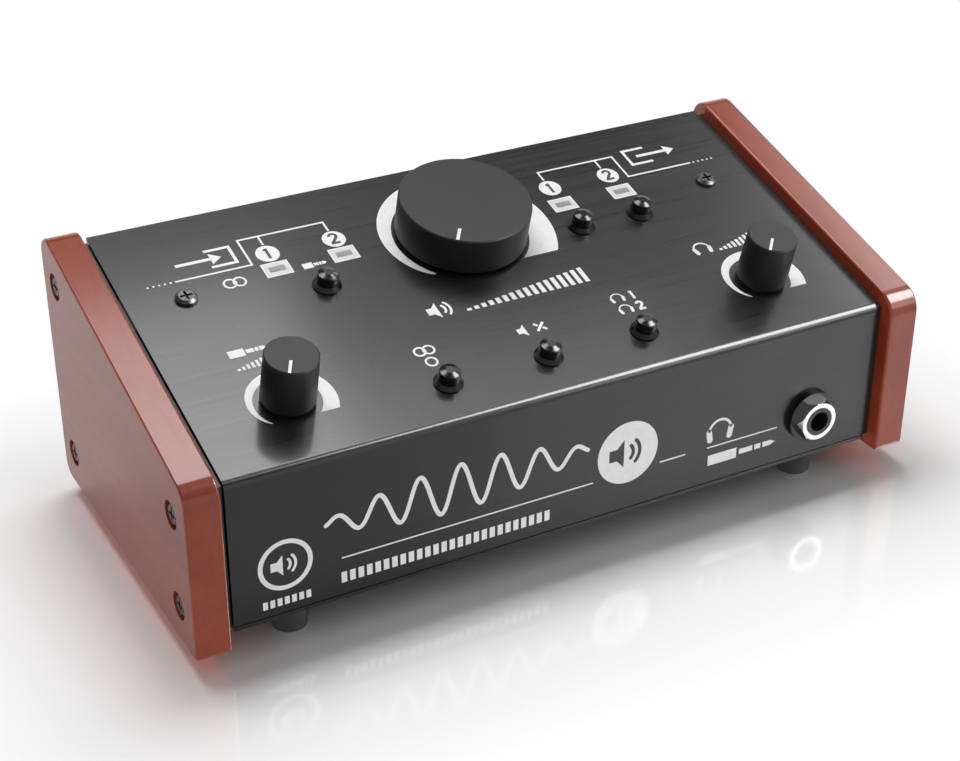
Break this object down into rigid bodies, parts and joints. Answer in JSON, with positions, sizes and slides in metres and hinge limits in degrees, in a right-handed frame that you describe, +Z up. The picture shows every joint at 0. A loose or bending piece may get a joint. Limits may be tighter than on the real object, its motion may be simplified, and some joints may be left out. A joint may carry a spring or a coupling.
{
  "type": "studio monitor controller",
  "caption": "Wedge-shaped desktop monitor controller: sloping black metal panel between lacquered wood cheeks, with volume, aux and headphone knobs, push buttons, signal lamps and jack sockets.",
  "frame": {"origin": "on the desk under the middle of the box: centre of the bounding box's bottom face", "axes": "+X to the user's right, along the longest side; +Y to the back, where the sockets are; +Z up"},
  "size_m": [0.24, 0.1134, 0.094],
  "materials": {
    "bezel_plastic": "gloss",
    "black_screw": "black oxide",
    "black_sheet": "satin black powder coat",
    "button_plastic": "gloss",
    "capacitor_sleeve": "gloss sleeve",
    "chip_resin": "matt",
    "chrome": "polished",
    "circuit_board": "solder mask",
    "frame_steel": "matt black",
    "header_plastic": "satin",
    "knob_plastic": "fine satin",
    "lacquered_wood": "gloss lacquer over red-brown stain",
    "lamp_resin": "diffused resin",
    "pot_body": "tinned",
    "ribbon_pvc": "satin",
    "rubber": "matt",
    "shaft_aluminium": "turned",
    "socket_plastic": "satin",
    "spring_steel": "drawn wire",
    "washer_plastic": "gloss",
    "zinc_steel": "zinc plated"
  },
  "bodies": {
    "housing": {"amplifier_chips": "chip_resin", "aux_jack": "socket_plastic", "aux_jack_nut": "zinc_steel", "aux_pot": "pot_body", "base_screws": "black_screw", "base_tray": "black_sheet", "board_screws": "zinc_steel", "board_standoffs": "zinc_steel", "button_bezels": "bezel_plastic", "control_board": "circuit_board", "filter_capacitors": "capacitor_sleeve", "foot_screws": "zinc_steel", "headphone_jack": "socket_plastic", "headphone_jack_nut": "chrome", "headphone_jack_washer": "washer_plastic", "headphone_pot": "pot_body", "input_jacks": "socket_plastic", "input_lamps": "lamp_resin", "input_select_spring": "spring_steel", "left_cheek": "lacquered_wood", "left_cheek_screws": "black_screw", "left_end_frame": "frame_steel", "main_board": "circuit_board", "mono_spring": "spring_steel", "mute_spring": "spring_steel", "output_1_spring": "spring_steel", "output_2_spring": "spring_steel", "output_jacks": "socket_plastic", "output_lamps": "lamp_resin", "panel_screws": "black_screw", "pot_nuts": "zinc_steel", "pot_washers": "zinc_steel", "power_inlet": "socket_plastic", "prelisten_spring": "spring_steel", "rear_jack_nuts": "zinc_steel", "rear_jack_washers": "zinc_steel", "ribbon_cable": "ribbon_pvc", "ribbon_headers": "header_plastic", "right_cheek": "lacquered_wood", "right_cheek_screws": "black_screw", "right_end_frame": "frame_steel", "rubber_feet": "rubber", "switch_housings": "socket_plastic", "top_cover": "black_sheet", "volume_pot": "pot_body"},
    "volume_control": {"volume_knob": "knob_plastic", "volume_shaft": "shaft_aluminium"},
    "aux_control": {"aux_knob": "knob_plastic", "aux_shaft": "shaft_aluminium"},
    "headphone_control": {"headphone_knob": "knob_plastic", "headphone_shaft": "shaft_aluminium"},
    "input_select_push": {"input_select_button": "button_plastic"},
    "output_1_push": {"output_1_button": "button_plastic"},
    "output_2_push": {"output_2_button": "button_plastic"},
    "mono_push": {"mono_button": "button_plastic"},
    "mute_push": {"mute_button": "button_plastic"},
    "prelisten_push": {"prelisten_button": "button_plastic"}
  },
  "joints": [
    {"name": "volume_turn", "type": "hinge", "parent": "housing", "child": "volume_control", "pos_m": [0, 0.01917, 0.07599], "axis": [0, 0.265, -0.9643], "range_deg": [0, 300]},
    {"name": "aux_turn", "type": "hinge", "parent": "housing", "child": "aux_control", "pos_m": [-0.079, -0.02885, 0.0628], "axis": [0, 0.265, -0.9643], "range_deg": [0, 300]},
    {"name": "headphone_turn", "type": "hinge", "parent": "housing", "child": "headphone_control", "pos_m": [0.079, -0.02885, 0.0628], "axis": [0, 0.265, -0.9643], "range_deg": [0, 300]},
    {"name": "input_select_press", "type": "slide", "parent": "housing", "child": "input_select_push", "axis": [0, 0.265, -0.9643], "range_m": [0, 0.0022], "stiffness_N_per_m": 400, "springref_m": -0.001, "deforming": ["input_select_spring"]},
    {"name": "output_1_press", "type": "slide", "parent": "housing", "child": "output_1_push", "axis": [0, 0.265, -0.9643], "range_m": [0, 0.0022], "stiffness_N_per_m": 400, "springref_m": -0.001, "deforming": ["output_1_spring"]},
    {"name": "output_2_press", "type": "slide", "parent": "housing", "child": "output_2_push", "axis": [0, 0.265, -0.9643], "range_m": [0, 0.0022], "stiffness_N_per_m": 400, "springref_m": -0.001, "deforming": ["output_2_spring"]},
    {"name": "mono_press", "type": "slide", "parent": "housing", "child": "mono_push", "axis": [0, 0.265, -0.9643], "range_m": [0, 0.0022], "stiffness_N_per_m": 400, "springref_m": -0.001, "deforming": ["mono_spring"]},
    {"name": "mute_press", "type": "slide", "parent": "housing", "child": "mute_push", "axis": [0, 0.265, -0.9643], "range_m": [0, 0.0022], "stiffness_N_per_m": 400, "springref_m": -0.001, "deforming": ["mute_spring"]},
    {"name": "prelisten_press", "type": "slide", "parent": "housing", "child": "prelisten_push", "axis": [0, 0.265, -0.9643], "range_m": [0, 0.0022], "stiffness_N_per_m": 400, "springref_m": -0.001, "deforming": ["prelisten_spring"]}
  ]
}
